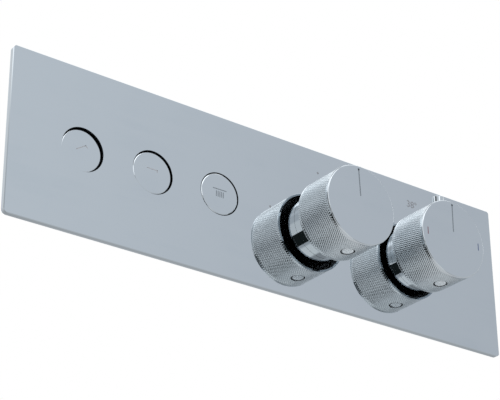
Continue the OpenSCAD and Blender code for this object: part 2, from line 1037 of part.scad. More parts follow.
module thermostat_cartridge() {
    front_r = thermo_front_r - fit;
    rear_r = thermo_rear_r - fit;
    end = thermo_ledge_y - fit;
    color("goldenrod")
        facing(temperature_x)
            difference() {
                union() {
                    rod(neck_front, shoulder_y, thermo_neck_r);
                    rod(shoulder_y, ledge_y, thermo_nut_r - fit);
                    rod(ledge_y, thermo_step_y - stop_gap, front_r);
                    rod(thermo_step_y - stop_gap, end, rear_r);
                }
                rod(neck_front - cut, thermo_shaft_y + cut, thermo_shaft_r);
                rod(thermo_shaft_y, carrier_bore_y + cut, carrier_bore_r);
                rod(carrier_bore_y, end + cut, spool_bore_r);
                for (side = [0, 180])
                    rotate(side)
                        translate([carrier_bore_r - cut, -key_w / 2 - fit, thermo_shaft_y])
                            cube([cut + key_h, key_w + 2 * fit, carrier_bore_y - thermo_shaft_y + cut]);
                thermo_ports(cold_window_y, cold_groove_w, cold_groove_r, front_r);
                thermo_ports(hot_window_y, hot_groove_w, hot_groove_r, rear_r);
                o_groove(thermo_ring_ys[0], front_r);
                o_groove(thermo_ring_ys[1], front_r);
                o_groove(thermo_ring_ys[2], rear_r);
            }
}

module thermostat_rings() {
    color("black")
        facing(temperature_x) {
            o_ring(thermo_ring_ys[0], thermo_front_r, thermo_front_r - fit - groove_depth);
            o_ring(thermo_ring_ys[1], thermo_front_r, thermo_front_r - fit - groove_depth);
            o_ring(thermo_ring_ys[2], thermo_rear_r, thermo_rear_r - fit - groove_depth);
        }
}

module temperature_spindle() {
    splines_y = knob_front(temperature_gap) + knob_front_t + 2 * insert_wall_slack + 2 * spline_tip_gap;
    flange_y0 = thermo_shaft_y + run;
    color("goldenrod")
        facing(temperature_x) {
            splined(splines_y, neck_front);
            rod(neck_front, flange_y0, thermo_shaft_r - run);
            rod(flange_y0, flange_y0 + spindle_flange_t, carrier_bore_r - fit);
            rod(flange_y0 + spindle_flange_t, spindle_end_y, spindle_thread_r);
        }
}

// Nut on the spindle's thread, kept from turning by two keys
module thermostat_carrier() {
    color("whitesmoke")
        facing(temperature_x)
            difference() {
                union() {
                    rod(carrier_y0, carrier_y1, carrier_bore_r - run);
                    for (side = [0, 180])
                        rotate(side)
                            translate([carrier_bore_r - cut, -key_w / 2, carrier_y0])
                                cube([cut + key_h - fit, key_w, carrier_y1 - carrier_y0]);
                }
                rod(carrier_y0 - cut, carrier_y1, spindle_thread_r + run);
                rod(carrier_floor_y, carrier_y1 + cut, carrier_pocket_r);
            }
}

module overload_spring() {
    color("silver")
        facing(temperature_x)
            spring(carrier_floor_y, piston_head_y, overload_mid_r, overload_wire, 4);
}

// Wax capsule with its piston
module wax_element() {
    color("peru")
        facing(temperature_x)
            stepped([
                [piston_head_y, piston_head_y + piston_head_t, piston_head_r],
                [piston_head_y, element_y0, piston_r],
                [element_y0, element_y0 + element_flange_t, element_flange_r],
                [element_y0, element_y1, element_r]
            ]);
}

// Sliding ring that opens one supply as it closes the other
module thermostat_spool() {
    outer = spool_bore_r - run;
    inner = outer - spool_wall;
    color("gainsboro")
        facing(temperature_x) {
            ring(spool_y0, spool_y1, outer, inner);
            difference() {
                ring(spool_y0, spool_y0 + spool_web_t, inner + run, element_r + fit);
                for (k = [0:spool_holes - 1])
                    rotate(360 * k / spool_holes)
                        translate([spool_hole_at, 0, 0])
                            rod(spool_y0 - cut, spool_y0 + spool_web_t + cut, spool_hole_r);
            }
        }
}

module thermostat_end_ring() {
    end = thermo_ledge_y - fit;
    color("goldenrod")
        facing(temperature_x)
            ring(end - end_ring_t, end, spool_bore_r - fit, end_ring_hole_r);
}

module thermostat_spring() {
    color("silver")
        facing(temperature_x)
            spring(
                spool_y0 + spool_web_t, thermo_ledge_y - fit - end_ring_t,
                return_mid_r, return_wire, 5
            );
}

// Places its children in an inlet, 0 for hot and 1 for cold, with Z up
module in_inlet(i) {
    translate([temperature_x + inlet_dirs[i] * inlet_offset, inlet_ys[i], 0])
        children();
}

function thread_top() = -inlet_bottom + thread_depth;
function strainer_low() = thread_top() + fit;
function check_low() = strainer_low() + strainer_t + fit;

module check_valve(i) {
    low = check_low();
    high = low + check_len;
    outer = inlet_chamber_r - fit;
    inner = outer - check_wall;
    color("whitesmoke")
        in_inlet(i) {
            ring(low, high, outer, inner);
            ring(low, low + check_seat_t, inner + run, check_seat_r);
            difference() {
                union() {
                    rod(high - check_spider_t, high, check_hub_r);
                    intersection() {
                        rod(high - check_spider_t, high, inner + run);
                        for (k = [0:2])
                            rotate(60 * k)
                                translate([-inner - cut, -check_spoke_w / 2, high - check_spider_t])
                                    cube([2 * inner + 2 * cut, check_spoke_w, check_spider_t]);
                    }
                }
                rod(low, high + cut, poppet_stem_r + run);
            }
        }
}

module check_poppet(i) {
    low = check_low() + check_seat_t + stop_gap;
    high = check_low() + check_len + poppet_stem_over;
    color("#3a6ea5")
        in_inlet(i) {
            rod(low, low + poppet_t, poppet_r);
            rod(low, high, poppet_stem_r);
        }
}

module check_spring(i) {
    low = check_low() + check_seat_t + stop_gap + poppet_t;
    high = check_low() + check_len - check_spider_t;
    color("silver")
        in_inlet(i)
            spring(low, high, check_spring_mid_r, check_spring_wire, 5);
}

// Perforated discs that keep grit out, one in each inlet
module inlet_strainers() {
    color("silver")
        for (i = [0, 1])
            in_inlet(i)
                difference() {
                    rod(strainer_low(), strainer_low() + strainer_t, inlet_chamber_r - fit);
                    for (n = [1:strainer_rings])
                        for (k = [0:6 * n - 1])
                            rotate(360 * k / (6 * n))
                                translate([n * strainer_pitch, 0, 0])
                                    rod(
                                        strainer_low() - cut, check_low() + cut,
                                        strainer_hole_r
                                    );
                }
}

function foot_xs() = [
    (button_x(hand_shower) + button_x(bath_spout)) / 2,
    (button_x(overhead) + flow_x) / 2
];

module along_x(x0, x1, y, z, r) {
    translate([x0, y, z])
        rotate([0, 90, 0])
            cylinder(h = x1 - x0, r = r);
}

module body_solids() {
    left_end = button_x(hand_shower) - button_housing_r - gallery_end_wall;
    for (i = [hand_shower:overhead]) {
        facing(button_x(i))
            rod(button_face_y, gallery_y + gallery_r + housing_back_wall, button_housing_r);
        translate([button_x(i), outlet_y, 0])
            cylinder(h = outlet_top, r = outlet_r);
    }
    facing(flow_x)
        rod(knob_face_y, bracket_y, flow_housing_r);
    facing(temperature_x)
        rod(knob_face_y, bracket_y, temperature_housing_r);
    along_x(left_end, flow_x, gallery_y, 0, gallery_r);
    along_x(flow_x, temperature_x, cross_y, cross_z, cross_r);
    for (x = foot_xs())
        translate([x - foot_block_w / 2, foot_block_y, -foot_block_h / 2])
            cube([foot_block_w, bracket_y - foot_block_y, foot_block_h]);
    for (i = [0, 1])
        in_inlet(i) {
            rod(-inlet_bottom, inlet_top, boss_r);
            rotate([0, -90 * inlet_dirs[i], 0])
                translate([inlet_dirs[i] * inlet_pass_z, 0, 0])
                    cylinder(h = inlet_offset, r = inlet_pass_r + inlet_pass_wall);
        }
}

module body_bores() {
    left_end = button_x(hand_shower) - button_housing_r;
    for (i = [hand_shower:overhead]) {
        facing(button_x(i)) {
            rod(button_face_y - cut, seat_y, chamber_r);
            rod(seat_y - cut, gallery_y, seat_r);
        }
        translate([button_x(i), outlet_y, 0]) {
            cylinder(h = outlet_top, r = outlet_bore_r);
            rod(outlet_top - thread_depth, outlet_top + cut, thread_r);
        }
    }
    along_x(left_end, flow_x, gallery_y, 0, gallery_bore_r);
    facing(flow_x) {
        rod(knob_face_y - cut, ledge_y, flow_nut_r);
        rod(ledge_y - cut, flow_end_y + flow_seal_t, flow_bore_r);
        rod(flow_end_y, mix_y0 + cut, flow_port_r);
        rod(mix_y0, mix_y1, flow_mix_r);
    }
    facing(temperature_x) {
        rod(knob_face_y - cut, ledge_y, thermo_nut_r);
        rod(ledge_y - cut, thermo_step_y, thermo_front_r);
        rod(thermo_step_y - cut, thermo_ledge_y, thermo_rear_r);
        rod(thermo_ledge_y - cut, mix_y1, thermo_mix_r);
    }
    along_x(flow_x, temperature_x, cross_y, cross_z, cross_bore_r);
    for (i = [0, 1])
        in_inlet(i) {
            rod(-inlet_bottom - cut, thread_top(), thread_r);
            rod(thread_top() - cut, inlet_chamber_top, inlet_chamber_r);
            rotate([0, -90 * inlet_dirs[i], 0])
                translate([inlet_dirs[i] * inlet_pass_z, 0, 0])
                    cylinder(h = inlet_offset - thermo_rear_r + cut, r = inlet_pass_r);
        }
    for (x = foot_xs())
        for (side = [-1, 1])
            facing(x, side * body_screw_at)
                rod(foot_block_y - cut, bracket_y + cut, body_screw_r + fit);
}

// Cast brass manifold: gallery, five housings, two inlets and three outlets
module valve_body() {
    color("darkgoldenrod")
        difference() {
            body_solids();
            body_bores();
        }
}

module slot_outline(length, r) {
    for (side = [-1, 1])
        translate([side * (length / 2 - r), 0])
            circle(r = r);
    square([length - 2 * r, 2 * r], center = true);
}

module mounting_bracket() {
    color("lightgray") {
        facing(0)
            translate([0, 0, bracket_y])
                linear_extrude(height = bracket_t)
                    difference() {
                        square([bracket_w, bracket_h], center = true);
                        for (x = [-fixing_w / 2, fixing_w / 2])
                            for (y = [-fixing_h / 2, fixing_h / 2])
                                translate([x, y])
                                    slot_outline(fixing_len, fixing_r);
                        for (x = foot_xs())
                            for (y = [-body_screw_at, body_screw_at])
                                translate([x, y])
                                    circle(r = body_screw_r + fit);
                        for (k = [0:relief_count - 1])
                            for (y = [-1, 1])
                                translate([(k - (relief_count - 1) / 2) * relief_pitch, y * fixing_h / 2])
                                    circle(r = relief_r);
                    }
        for (side = [0, 180])
            rotate([0, side, 0])
                translate([-bracket_w / 2, bracket_y - bracket_lip, bracket_h / 2 - bracket_t])
                    cube([bracket_w, bracket_lip + bracket_t, bracket_t]);
    }
}

// Four cap screws from the body's feet into the bracket
module body_screws() {
    color("silver")
        for (x = foot_xs())
            for (side = [-1, 1])
                facing(x, side * body_screw_at)
                    difference() {
                        union() {
                            rod(foot_block_y - screw_head_t, foot_block_y, screw_head_r);
                            rod(foot_block_y, bracket_y + bracket_t, body_screw_r);
                        }
                        translate([0, 0, foot_block_y - screw_head_t - cut])
                            cylinder(h = screw_socket_depth + cut, r = screw_socket_r, $fn = 6);
                    }
}

trim_plate();
plate_seal();
mounting_bracket();
body_screws();
valve_body();
button_cap(hand_shower);  // hand_shower_cap
button_cap(bath_spout);  // bath_spout_cap
button_cap(overhead);  // overhead_shower_cap
button_stem(hand_shower);  // hand_shower_stem
button_stem(bath_spout);  // bath_spout_stem
button_stem(overhead);  // overhead_shower_stem
button_washer(hand_shower);  // hand_shower_washer
button_washer(bath_spout);  // bath_spout_washer
button_washer(overhead);  // overhead_shower_washer
button_spring(hand_shower);  // hand_shower_spring
button_spring(bath_spout);  // bath_spout_spring
button_spring(overhead);  // overhead_shower_spring
button_cartridge(hand_shower);  // hand_shower_cartridge
button_cartridge(bath_spout);  // bath_spout_cartridge
button_cartridge(overhead);  // overhead_shower_cartridge
button_guides();
button_cartridge_rings();
flow_sleeve();
temperature_sleeve();
sleeve_rings();
flow_knob();
flow_knob_insert();
flow_grub_screw();
flow_knob_plug();
flow_spindle();
flow_moving_disc();
flow_fixed_disc();
flow_seat_seal();
flow_cartridge();
flow_cartridge_nut();
temperature_knob();
temperature_knob_insert();
temperature_grub_screw();
temperature_knob_plug();
safety_button();
safety_catch();
safety_spring();
stop_ring();
temperature_spindle();
thermostat_carrier();
overload_spring();
wax_element();
thermostat_spool();
thermostat_spring();
thermostat_end_ring();
thermostat_cartridge();
thermostat_cartridge_nut();
thermostat_rings();
check_valve(0);  // hot_check_valve
check_valve(1);  // cold_check_valve
check_poppet(0);  // hot_check_poppet
check_poppet(1);  // cold_check_poppet
check_spring(0);  // hot_check_spring
check_spring(1);  // cold_check_spring
inlet_strainers();
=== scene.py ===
# %% [markdown]
# # A thermostatic shower valve, dressed for its portrait
# The valve comes from the CAD model with every solid in its place. Blender adds what CAD leaves
# out: light, finishes, the fine knurl on the knobs and the small marks.
# Everything is in metres, with X to the right, Y into the wall and Z up.

# %% Load the valve
import json
import math

import bmesh
import bpy
from mathutils import Matrix, Vector


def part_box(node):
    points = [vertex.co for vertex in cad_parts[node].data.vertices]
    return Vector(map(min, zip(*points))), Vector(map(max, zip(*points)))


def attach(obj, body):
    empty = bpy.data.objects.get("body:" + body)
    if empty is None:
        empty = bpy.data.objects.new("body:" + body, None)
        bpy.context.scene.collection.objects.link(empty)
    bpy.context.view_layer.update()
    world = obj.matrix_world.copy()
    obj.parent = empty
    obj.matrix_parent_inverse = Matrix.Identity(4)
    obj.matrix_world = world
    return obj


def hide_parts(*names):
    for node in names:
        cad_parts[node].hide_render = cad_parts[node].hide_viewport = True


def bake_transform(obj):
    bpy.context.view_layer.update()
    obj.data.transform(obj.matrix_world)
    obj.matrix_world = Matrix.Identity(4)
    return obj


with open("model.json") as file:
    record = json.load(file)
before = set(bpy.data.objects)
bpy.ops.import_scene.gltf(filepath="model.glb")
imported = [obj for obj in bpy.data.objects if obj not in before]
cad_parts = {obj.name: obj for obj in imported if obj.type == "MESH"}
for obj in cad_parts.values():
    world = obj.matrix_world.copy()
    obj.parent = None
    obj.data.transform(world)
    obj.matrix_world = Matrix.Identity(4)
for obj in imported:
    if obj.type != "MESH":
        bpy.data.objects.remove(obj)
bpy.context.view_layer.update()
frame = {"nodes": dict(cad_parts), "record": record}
mm = 0.001
record = frame["record"]


def middle(node):
    """The middle of a solid's box."""
    low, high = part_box(node)
    return [(a + b) / 2 for a, b in zip(low, high)]


print("solids from CAD:", len(frame["nodes"]))

# %% [markdown]
# ## The camera
# The photographer stood low and to the left, about a metre away, with a long lens. A long lens
# keeps the knobs round and the edges of the plate nearly parallel. The place and the turn of the
# camera were worked out from the corners of the plate and the outlines of the knobs.

# %% Camera
camera_data = bpy.data.cameras.new("portrait_camera")
camera_data.lens = 123.31
camera_data.sensor_width = 36
camera_data.clip_start = 0.05
camera_data.clip_end = 50
camera = bpy.data.objects.new("portrait_camera", camera_data)
bpy.context.collection.objects.link(camera)
right = Vector((0.80071, -0.59900, -0.00758))
up = Vector((-0.26140, -0.36075, 0.89528))
back = Vector((-0.53901, -0.71488, -0.44544))
turn = Matrix((right, up, back)).transposed().to_4x4()
camera.matrix_world = Matrix.Translation((-0.5461, -0.7039, -0.4343)) @ turn
bpy.context.scene.camera = camera
bpy.context.scene.view_settings.view_transform = "Standard"
print("camera distance in metres:", round(camera.location.length, 3))

# %% [markdown]
# ## Shader maths as plain expressions
# A shader is a graph of small nodes. Wiring them by hand hides the idea, so one small class wraps
# an output socket and lets Python's own operators add the Math nodes. `1 - mask * 0.5` then reads
# like the formula that it is. Everything else goes through one method that adds any node.

# %% Sockets with arithmetic
class Signal:
    """An output socket whose arithmetic adds Math nodes to its tree."""

    def __init__(self, graph, socket):
        self.graph = graph
        self.socket = socket

    def maths(self, operation, *values):
        inputs = dict(enumerate(values))
        return self.graph.add("ShaderNodeMath", {"operation": operation}, inputs)

    def __add__(self, other):
        return self.maths("ADD", self, other)

    def __sub__(self, other):
        return self.maths("SUBTRACT", self, other)

    def __rsub__(self, other):
        return self.maths("SUBTRACT", other, self)

    def __mul__(self, other):
        return self.maths("MULTIPLY", self, other)

    def __truediv__(self, other):
        return self.maths("DIVIDE", self, other)

    def __rtruediv__(self, other):
        return self.maths("DIVIDE", other, self)

    def __pow__(self, other):
        return self.maths("POWER", self, other)

    def __abs__(self):
        return self.maths("ABSOLUTE", self)

    __radd__ = __add__
    __rmul__ = __mul__

    def smooth(self, low, high):
        """Rises smoothly from 0 at low to 1 at high."""
        settings = {"interpolation_type": "SMOOTHSTEP"}
        inputs = {"Value": self, "From Min": low, "From Max": high}
        return self.graph.add("ShaderNodeMapRange", settings, inputs)


class Graph:
    """The node tree of a material or of the world."""

    def __init__(self, owner):
        self.owner = owner
        owner.use_nodes = True
        self.tree = owner.node_tree
        self.tree.nodes.clear()

    def add(self, kind, settings=None, inputs=None, output=0):
        """Adds a node, makes its settings, then sets or links its sockets."""
        node = self.tree.nodes.new(kind)
        for name, value in (settings or {}).items():
            setattr(node, name, value)
        for name, value in (inputs or {}).items():
            if isinstance(value, Signal):
                self.tree.links.new(value.socket, node.inputs[name])
            else:
                node.inputs[name].default_value = value
        return Signal(self, node.outputs[output]) if node.outputs else None

    def blend(self, mask, first, second):
        """Goes from the first colour to the second as the mask rises."""
        # The colour sockets of a Mix node are its inputs 6 and 7 and its output 2.
        inputs = {0: mask, 6: first, 7: second}
        return self.add("ShaderNodeMix", {"data_type": "RGBA"}, inputs, 2)

    def place(self):
        """The point on the piece, in metres."""
        return self.add("ShaderNodeTexCoord", output="Object")

    def along(self, axis):
        """One coordinate of the point: 0 across, 1 into the wall, 2 up."""
        return self.add("ShaderNodeSeparateXYZ", None, {0: self.place()}, axis)

    def stretched(self, scale):
        """The point on the piece, with each axis scaled by its own factor."""
        inputs = {0: self.place(), 1: scale}
        return self.add("ShaderNodeVectorMath", {"operation": "MULTIPLY"}, inputs)

    def noise(self, scale, detail=2.0, where=None):
        """Cloudy noise; the scale is in lumps per metre."""
        inputs = {"Vector": where or self.place(), "Scale": scale, "Detail": detail}
        return self.add("ShaderNodeTexNoise", None, inputs)

    def cells(self, scale, output="Distance"):
        """Random cells, as in foam or in a crust of crystals."""
        inputs = {"Vector": self.place(), "Scale": scale}
        return self.add("ShaderNodeTexVoronoi", None, inputs, output)

    def bump(self, height, distance, strength=1.0):
        """Turns a height into a normal; the distance is the real height in metres."""
        inputs = {"Height": height, "Distance": distance, "Strength": strength}
        return self.add("ShaderNodeBump", None, inputs)


def rgb(red, green, blue):
    """A colour as a socket wants it, with its alpha."""
    return (red, green, blue, 1)


def finish(name, recipe):
    """Makes a material: the recipe gets the graph and returns the sockets of its shader."""
    graph = Graph(bpy.data.materials.new(name))
    shader = graph.add("ShaderNodeBsdfPrincipled", None, recipe(graph))
    graph.add("ShaderNodeOutputMaterial", None, {"Surface": shader})
    return graph.owner


print("shader maths is ready")

# %% [markdown]
# ## The studio
# Polished chrome has no colour of its own: it shows the room. The room here is the world, a soft
# grey studio with patches of light and shade in it. The plate and the faces of the knobs mirror
# a blue-grey card up on the right. A soft box hangs over the valve. The place of the camera is
# dark, and draws the small dark windows on the sleeves. A sphere of directions is easier to
# paint than a set of lamps and cards, because chrome looks each direction up.

# %% The room that the chrome mirrors
world = bpy.data.worlds.new("studio")
bpy.context.scene.world = world
room = Graph(world)
direction = room.add("ShaderNodeTexCoord", output="Generated")


def toward(axis):
    """How far the ray points along an axis of the room, from -1 to 1."""
    inputs = {0: direction, 1: Vector(axis).normalized()}
    return room.add("ShaderNodeVectorMath", {"operation": "DOT_PRODUCT"}, inputs, "Value")


def patch(below, axis, inner, outer, colour):
    """Paints a round patch of the room: full within one angle, gone beyond the other."""
    mask = toward(axis).smooth(math.cos(math.radians(outer)), math.cos(math.radians(inner)))
    return room.blend(mask, below, colour)


BELOW, ABOVE = rgb(0.56, 0.59, 0.62), rgb(0.69, 0.73, 0.77)
studio_colour = room.blend(toward((0, 0, 1)).smooth(-0.7, 0.7), BELOW, ABOVE)
# Each patch: its name, its direction, the angles where it starts and stops fading, its colour.
PATCHES = (
    ("floor in front", (0.02, -0.715, -0.70), 13, 20, rgb(1.0, 1.03, 1.04)),
    ("shade on the right", (0.48, -0.71, -0.51), 9, 18, rgb(0.42, 0.44, 0.46)),
    ("left wall", (-0.57, -0.71, 0.40), 16, 26, rgb(0.68, 0.72, 0.76)),
    ("pale screen on the left", (-0.70, -0.71, -0.03), 14, 21, rgb(0.92, 0.95, 0.97)),
    ("dark curtain on the left", (-0.99, -0.10, 0.05), 22, 36, rgb(0.055, 0.06, 0.065)),
    ("low window on the left", (-0.65, -0.07, -0.75), 12, 24, rgb(0.80, 0.82, 0.84)),
    ("bright gap over the curtain", (-0.52, -0.40, 0.75), 17, 22, rgb(1.7, 1.76, 1.82)),
    ("behind the camera", (-0.24, -0.95, 0.16), 8, 15, rgb(0.10, 0.105, 0.11)),
    ("window on the right", (0.89, 0.02, 0.45), 5, 9, rgb(1.9, 1.95, 2.0)),
    ("soft box", (0.17, -0.715, 0.68), 10, 15, rgb(2.1, 2.15, 2.2)),
    ("soft box, lower half", (-0.20, -0.90, 0.36), 9, 13, rgb(1.5, 1.55, 1.6)),
    ("ceiling light", (0.42, -0.15, 0.89), 10, 16, rgb(1.6, 1.65, 1.7)),
)
for title, axis, inner, outer, colour in PATCHES:
    studio_colour = patch(studio_colour, axis, inner, outer, colour)
    print("patch:", title)

# %% The card and the dark camera
CARD_AT = (0.55, -0.705, 0.445)
CARD_LEFT = rgb(0.697, 0.747, 0.803)
CARD_RIGHT = rgb(0.593, 0.632, 0.687)
card_colour = room.blend(toward((1, 0, 0)).smooth(0.38, 0.68), CARD_LEFT, CARD_RIGHT)
studio_colour = patch(studio_colour, CARD_AT, 12.5, 16, card_colour)

# The camera's dark place is a stripe across a round patch, so its mirror image has straight sides.
CAMERA_AT = (-0.58, -0.69, -0.43)
CAMERA_SIDE = (0.60, 0, -0.80)
CAMERA_HALF = 0.25
CAMERA_BLACK = rgb(0.015, 0.02, 0.02)
camera_stripe = 1 - abs(toward(CAMERA_SIDE)).smooth(CAMERA_HALF - 0.01, CAMERA_HALF + 0.01)
camera_mask = camera_stripe * toward(CAMERA_AT).smooth(0.93, 0.94)
studio_colour = room.blend(camera_mask, studio_colour, CAMERA_BLACK)
seen_by_camera = room.add("ShaderNodeLightPath", output="Is Camera Ray")
world_light = room.add("ShaderNodeBackground", None, {"Color": studio_colour})
world_white = room.add("ShaderNodeBackground", None, {"Color": rgb(1, 1, 1)})
shown = room.add("ShaderNodeMixShader", None, {0: seen_by_camera, 1: world_light, 2: world_white})
room.add("ShaderNodeOutputWorld", None, {"Surface": shown})
print("room nodes:", len(room.tree.nodes))

# %% [markdown]
# ## Wall and floor
# The photograph shows the valve cut out on white. A white board in the plane of the wall hides
# the brass body, as a real wall does. The camera sees the board evenly white, but the metal sees
# painted light and shade on it, as light would fall on a real wall: a painted pool of light round
# the valve that turns dark far out, painted shadow under the plate that grows paler lower down,
# and an even painted tone left of the plate. The knobs mirror just that. The board has an opening
# behind the plate, so that a pressed button can go in. It is clear from behind, so the other side
# can be looked at too. A pale floor lies far below.
# The chrome looks through it at the painted room, whose lower half stands for the floor.

# %% The light and shade painted on the wall
board_graph = Graph(bpy.data.materials.new("white_board"))
to_camera = board_graph.add("ShaderNodeLightPath", output="Is Camera Ray")
to_metal = board_graph.add("ShaderNodeLightPath", output="Is Glossy Ray")
to_glass = board_graph.add("ShaderNodeLightPath", output="Is Transmission Ray")
direct = to_camera.maths("MAXIMUM", to_camera, to_metal)
seen = direct.maths("MAXIMUM", direct, to_glass)
# Places on the wall are in metres. The plate ends at 0.175 to each side and at 0.05 up and down.
across, height = board_graph.along(0), board_graph.along(2)
# The colours below are painted light and shade that only the metal sees: painted light round the
# valve, painted dark far out, a painted shadow under the plate that turns paler lower down, and an
# even painted tone left of the plate.
POOL_X, POOL_Z, POOL_MIDDLE_Z = 0.25, 0.12, 0.03
PAINTED_POOL_LIGHT, PAINTED_DARK_FAR_OUT = rgb(1.15, 1.2, 1.25), rgb(0.13, 0.14, 0.15)
PAINTED_LIGHT_FAR_BELOW, PAINTED_SHADE_LOWER_DOWN, PAINTED_SHADOW_UNDER_PLATE = rgb(0.86, 0.88, 0.90), rgb(0.66, 0.68, 0.70), rgb(0.42, 0.44, 0.46)
PAINTED_TONE_LEFT_OF_PLATE = rgb(0.80, 0.83, 0.86)
pool = (across / POOL_X) ** 2 + ((height - POOL_MIDDLE_Z) / POOL_Z) ** 2
wall_above = board_graph.blend(pool.smooth(0.6, 1.3), PAINTED_POOL_LIGHT, PAINTED_DARK_FAR_OUT)
painted_light_low_on_wall = board_graph.blend(height.smooth(-0.095, -0.07), PAINTED_LIGHT_FAR_BELOW, PAINTED_SHADE_LOWER_DOWN)
wall_below = board_graph.blend(height.smooth(-0.064, -0.056), painted_light_low_on_wall, PAINTED_SHADOW_UNDER_PLATE)
painted_light_beside_plate = board_graph.blend(across.smooth(-0.176, -0.173), PAINTED_TONE_LEFT_OF_PLATE, wall_above)
shade = board_graph.blend(height.smooth(-0.052, -0.046), wall_below, painted_light_beside_plate)
board_white_and_painted_light = board_graph.blend(to_camera, shade, rgb(1, 1, 1))
plain = board_graph.add("ShaderNodeBsdfDiffuse", None, {"Color": rgb(0.85, 0.86, 0.87)})
white = board_graph.add("ShaderNodeEmission", None, {"Color": board_white_and_painted_light})
front = board_graph.add("ShaderNodeMixShader", None, {0: seen, 1: plain, 2: white})
clear = board_graph.add("ShaderNodeBsdfTransparent")
behind = board_graph.add("ShaderNodeNewGeometry", output="Backfacing")
both = board_graph.add("ShaderNodeMixShader", None, {0: behind, 1: front, 2: clear})
board_graph.add("ShaderNodeOutputMaterial", None, {"Surface": both})
print("board nodes:", len(board_graph.tree.nodes))

# %% The wall board, in four strips round its opening
def panel(name, corners, material):
    """A flat board that belongs to the stage, not to the valve."""
    mesh = bpy.data.meshes.new(name)
    mesh.from_pydata(corners, [], [(0, 1, 2, 3)])
    mesh.materials.append(material)
    board = bpy.data.objects.new(name, mesh)
    bpy.context.collection.objects.link(board)
    return board


WALL_Y = 0.3 * mm
WALL_X, WALL_Z = 0.7, 0.45
GAP_X, GAP_Z = 0.165, 0.04


def wall_strip(name, x0, x1, z0, z1):
    """One strip of the wall between two places across and two heights."""
    corners = [(x, WALL_Y, z) for x, z in ((x0, z0), (x1, z0), (x1, z1), (x0, z1))]
    panel(name, corners, board_graph.owner)


wall_strip("wall_left", -WALL_X, -GAP_X, -WALL_Z, WALL_Z)
wall_strip("wall_right", GAP_X, WALL_X, -WALL_Z, WALL_Z)
wall_strip("wall_above", -GAP_X, GAP_X, GAP_Z, WALL_Z)
wall_strip("wall_below", -GAP_X, GAP_X, -WALL_Z, -GAP_Z)
print("opening in mm:", round(2 * GAP_X / mm), "by", round(2 * GAP_Z / mm))

# %% Floor and lamp
floor_graph = Graph(bpy.data.materials.new("pale_floor"))
cloud = floor_graph.noise(1.5, 3.0)
painted = floor_graph.add("ShaderNodeBsdfPrincipled", None, {
    "Base Color": floor_graph.blend(cloud, rgb(0.86, 0.86, 0.85), rgb(0.9, 0.9, 0.89)),
    "Roughness": 0.7,
})
unseen = floor_graph.add("ShaderNodeBsdfTransparent")
from_metal = floor_graph.add("ShaderNodeLightPath", output="Is Glossy Ray")
layers = floor_graph.add("ShaderNodeMixShader", None, {0: from_metal, 1: painted, 2: unseen})
floor_graph.add("ShaderNodeOutputMaterial", None, {"Surface": layers})

FLOOR_Z, FLOOR_HALF = -1.3, 6
SQUARE = ((-1, -1), (1, -1), (1, 1), (-1, 1))
panel("floor", [(x * FLOOR_HALF, y * FLOOR_HALF, FLOOR_Z) for x, y in SQUARE], floor_graph.owner)

lamp_data = bpy.data.lights.new("overhead_lamp", "AREA")
lamp_data.energy = 8
lamp_data.size = 0.9
lamp = bpy.data.objects.new("overhead_lamp", lamp_data)
lamp.location = (-0.4, -1.1, 1.1)
lamp.rotation_euler = lamp.location.to_track_quat("Z", "Y").to_euler()
lamp.visible_glossy = False
bpy.context.collection.objects.link(lamp)
print("stage is set")

# %% [markdown]
# ## Chrome
# Chrome plate is a mirror with a cool tint. Hands and water leave a faint film that only shows
# as a slightly softer gloss, so the noise feeds the roughness and, very faintly, the tint.
# Plating hardly reaches into holes, so the walls of the button holes and of drilled holes are dull.
# The walls of the button holes are also painted nearly black, as painted shade.

# %% Polished and knurled chrome
CHROME = rgb(0.63, 0.665, 0.69)
CHROME_FILM = rgb(0.60, 0.64, 0.67)


def polished_chrome(graph):
    """A mirror with a faint film and the long wipes of a cloth."""
    film = graph.noise(28, 4.0).smooth(0.35, 0.75)
    wipe = graph.noise(9, 3.0, graph.stretched((1, 1, 14))).smooth(0.3, 0.8)
    return {
        "Base Color": graph.blend(film * wipe, CHROME, CHROME_FILM),
        "Metallic": 1.0,
        "Roughness": 0.018 + film * 0.012 + wipe * 0.01,
    }


BUTTONS = ("hand_shower", "bath_spout", "overhead_shower")
# The plate's face, and the radius of a button hole with a little to spare.
PLATE_Y = -3.0 * mm
HOLE = 13.3 * mm
# The walls of the button holes get this near black: painted shade.
PAINTED_HOLE_SHADE = rgb(0.02, 0.022, 0.025)


def plate_chrome_with_painted_hole_shade(graph):
    """The same chrome, but the walls of the button holes are dull, and painted nearly black as
    painted shade.
    """
    sockets = polished_chrome(graph)
    x, y, z = [graph.along(axis) for axis in range(3)]
    walls = y.smooth(PLATE_Y + 0.02 * mm, PLATE_Y + 0.1 * mm)
    inside = 0
    for name in BUTTONS:
        distance = ((x - middle(name + "_cap")[0]) ** 2 + z ** 2) ** 0.5
        inside = (1 - distance.smooth(HOLE, HOLE + 0.1 * mm)) + inside
    dull = walls * inside
    sockets["Base Color"] = graph.blend(dull, sockets["Base Color"], PAINTED_HOLE_SHADE)
    sockets["Roughness"] = sockets["Roughness"] + dull * 0.35
    return sockets


def bored_chrome(graph):
    """The dull wall of a drilled hole."""
    grain = graph.noise(900, 2.0)
    return {
        "Base Color": graph.blend(grain, rgb(0.46, 0.48, 0.50), rgb(0.36, 0.38, 0.40)),
        "Metallic": 1.0,
        "Roughness": 0.32 + grain * 0.1,
    }


def knurled_chrome(graph):
    """Chrome on the diamonds of the knurl, with the film that fingers leave."""
    film = graph.noise(60, 3.0).smooth(0.3, 0.8)
    return {
        "Base Color": graph.blend(film, rgb(0.66, 0.69, 0.71), rgb(0.60, 0.64, 0.66)),
        "Metallic": 1.0,
        "Roughness": 0.05 + film * 0.05,
    }


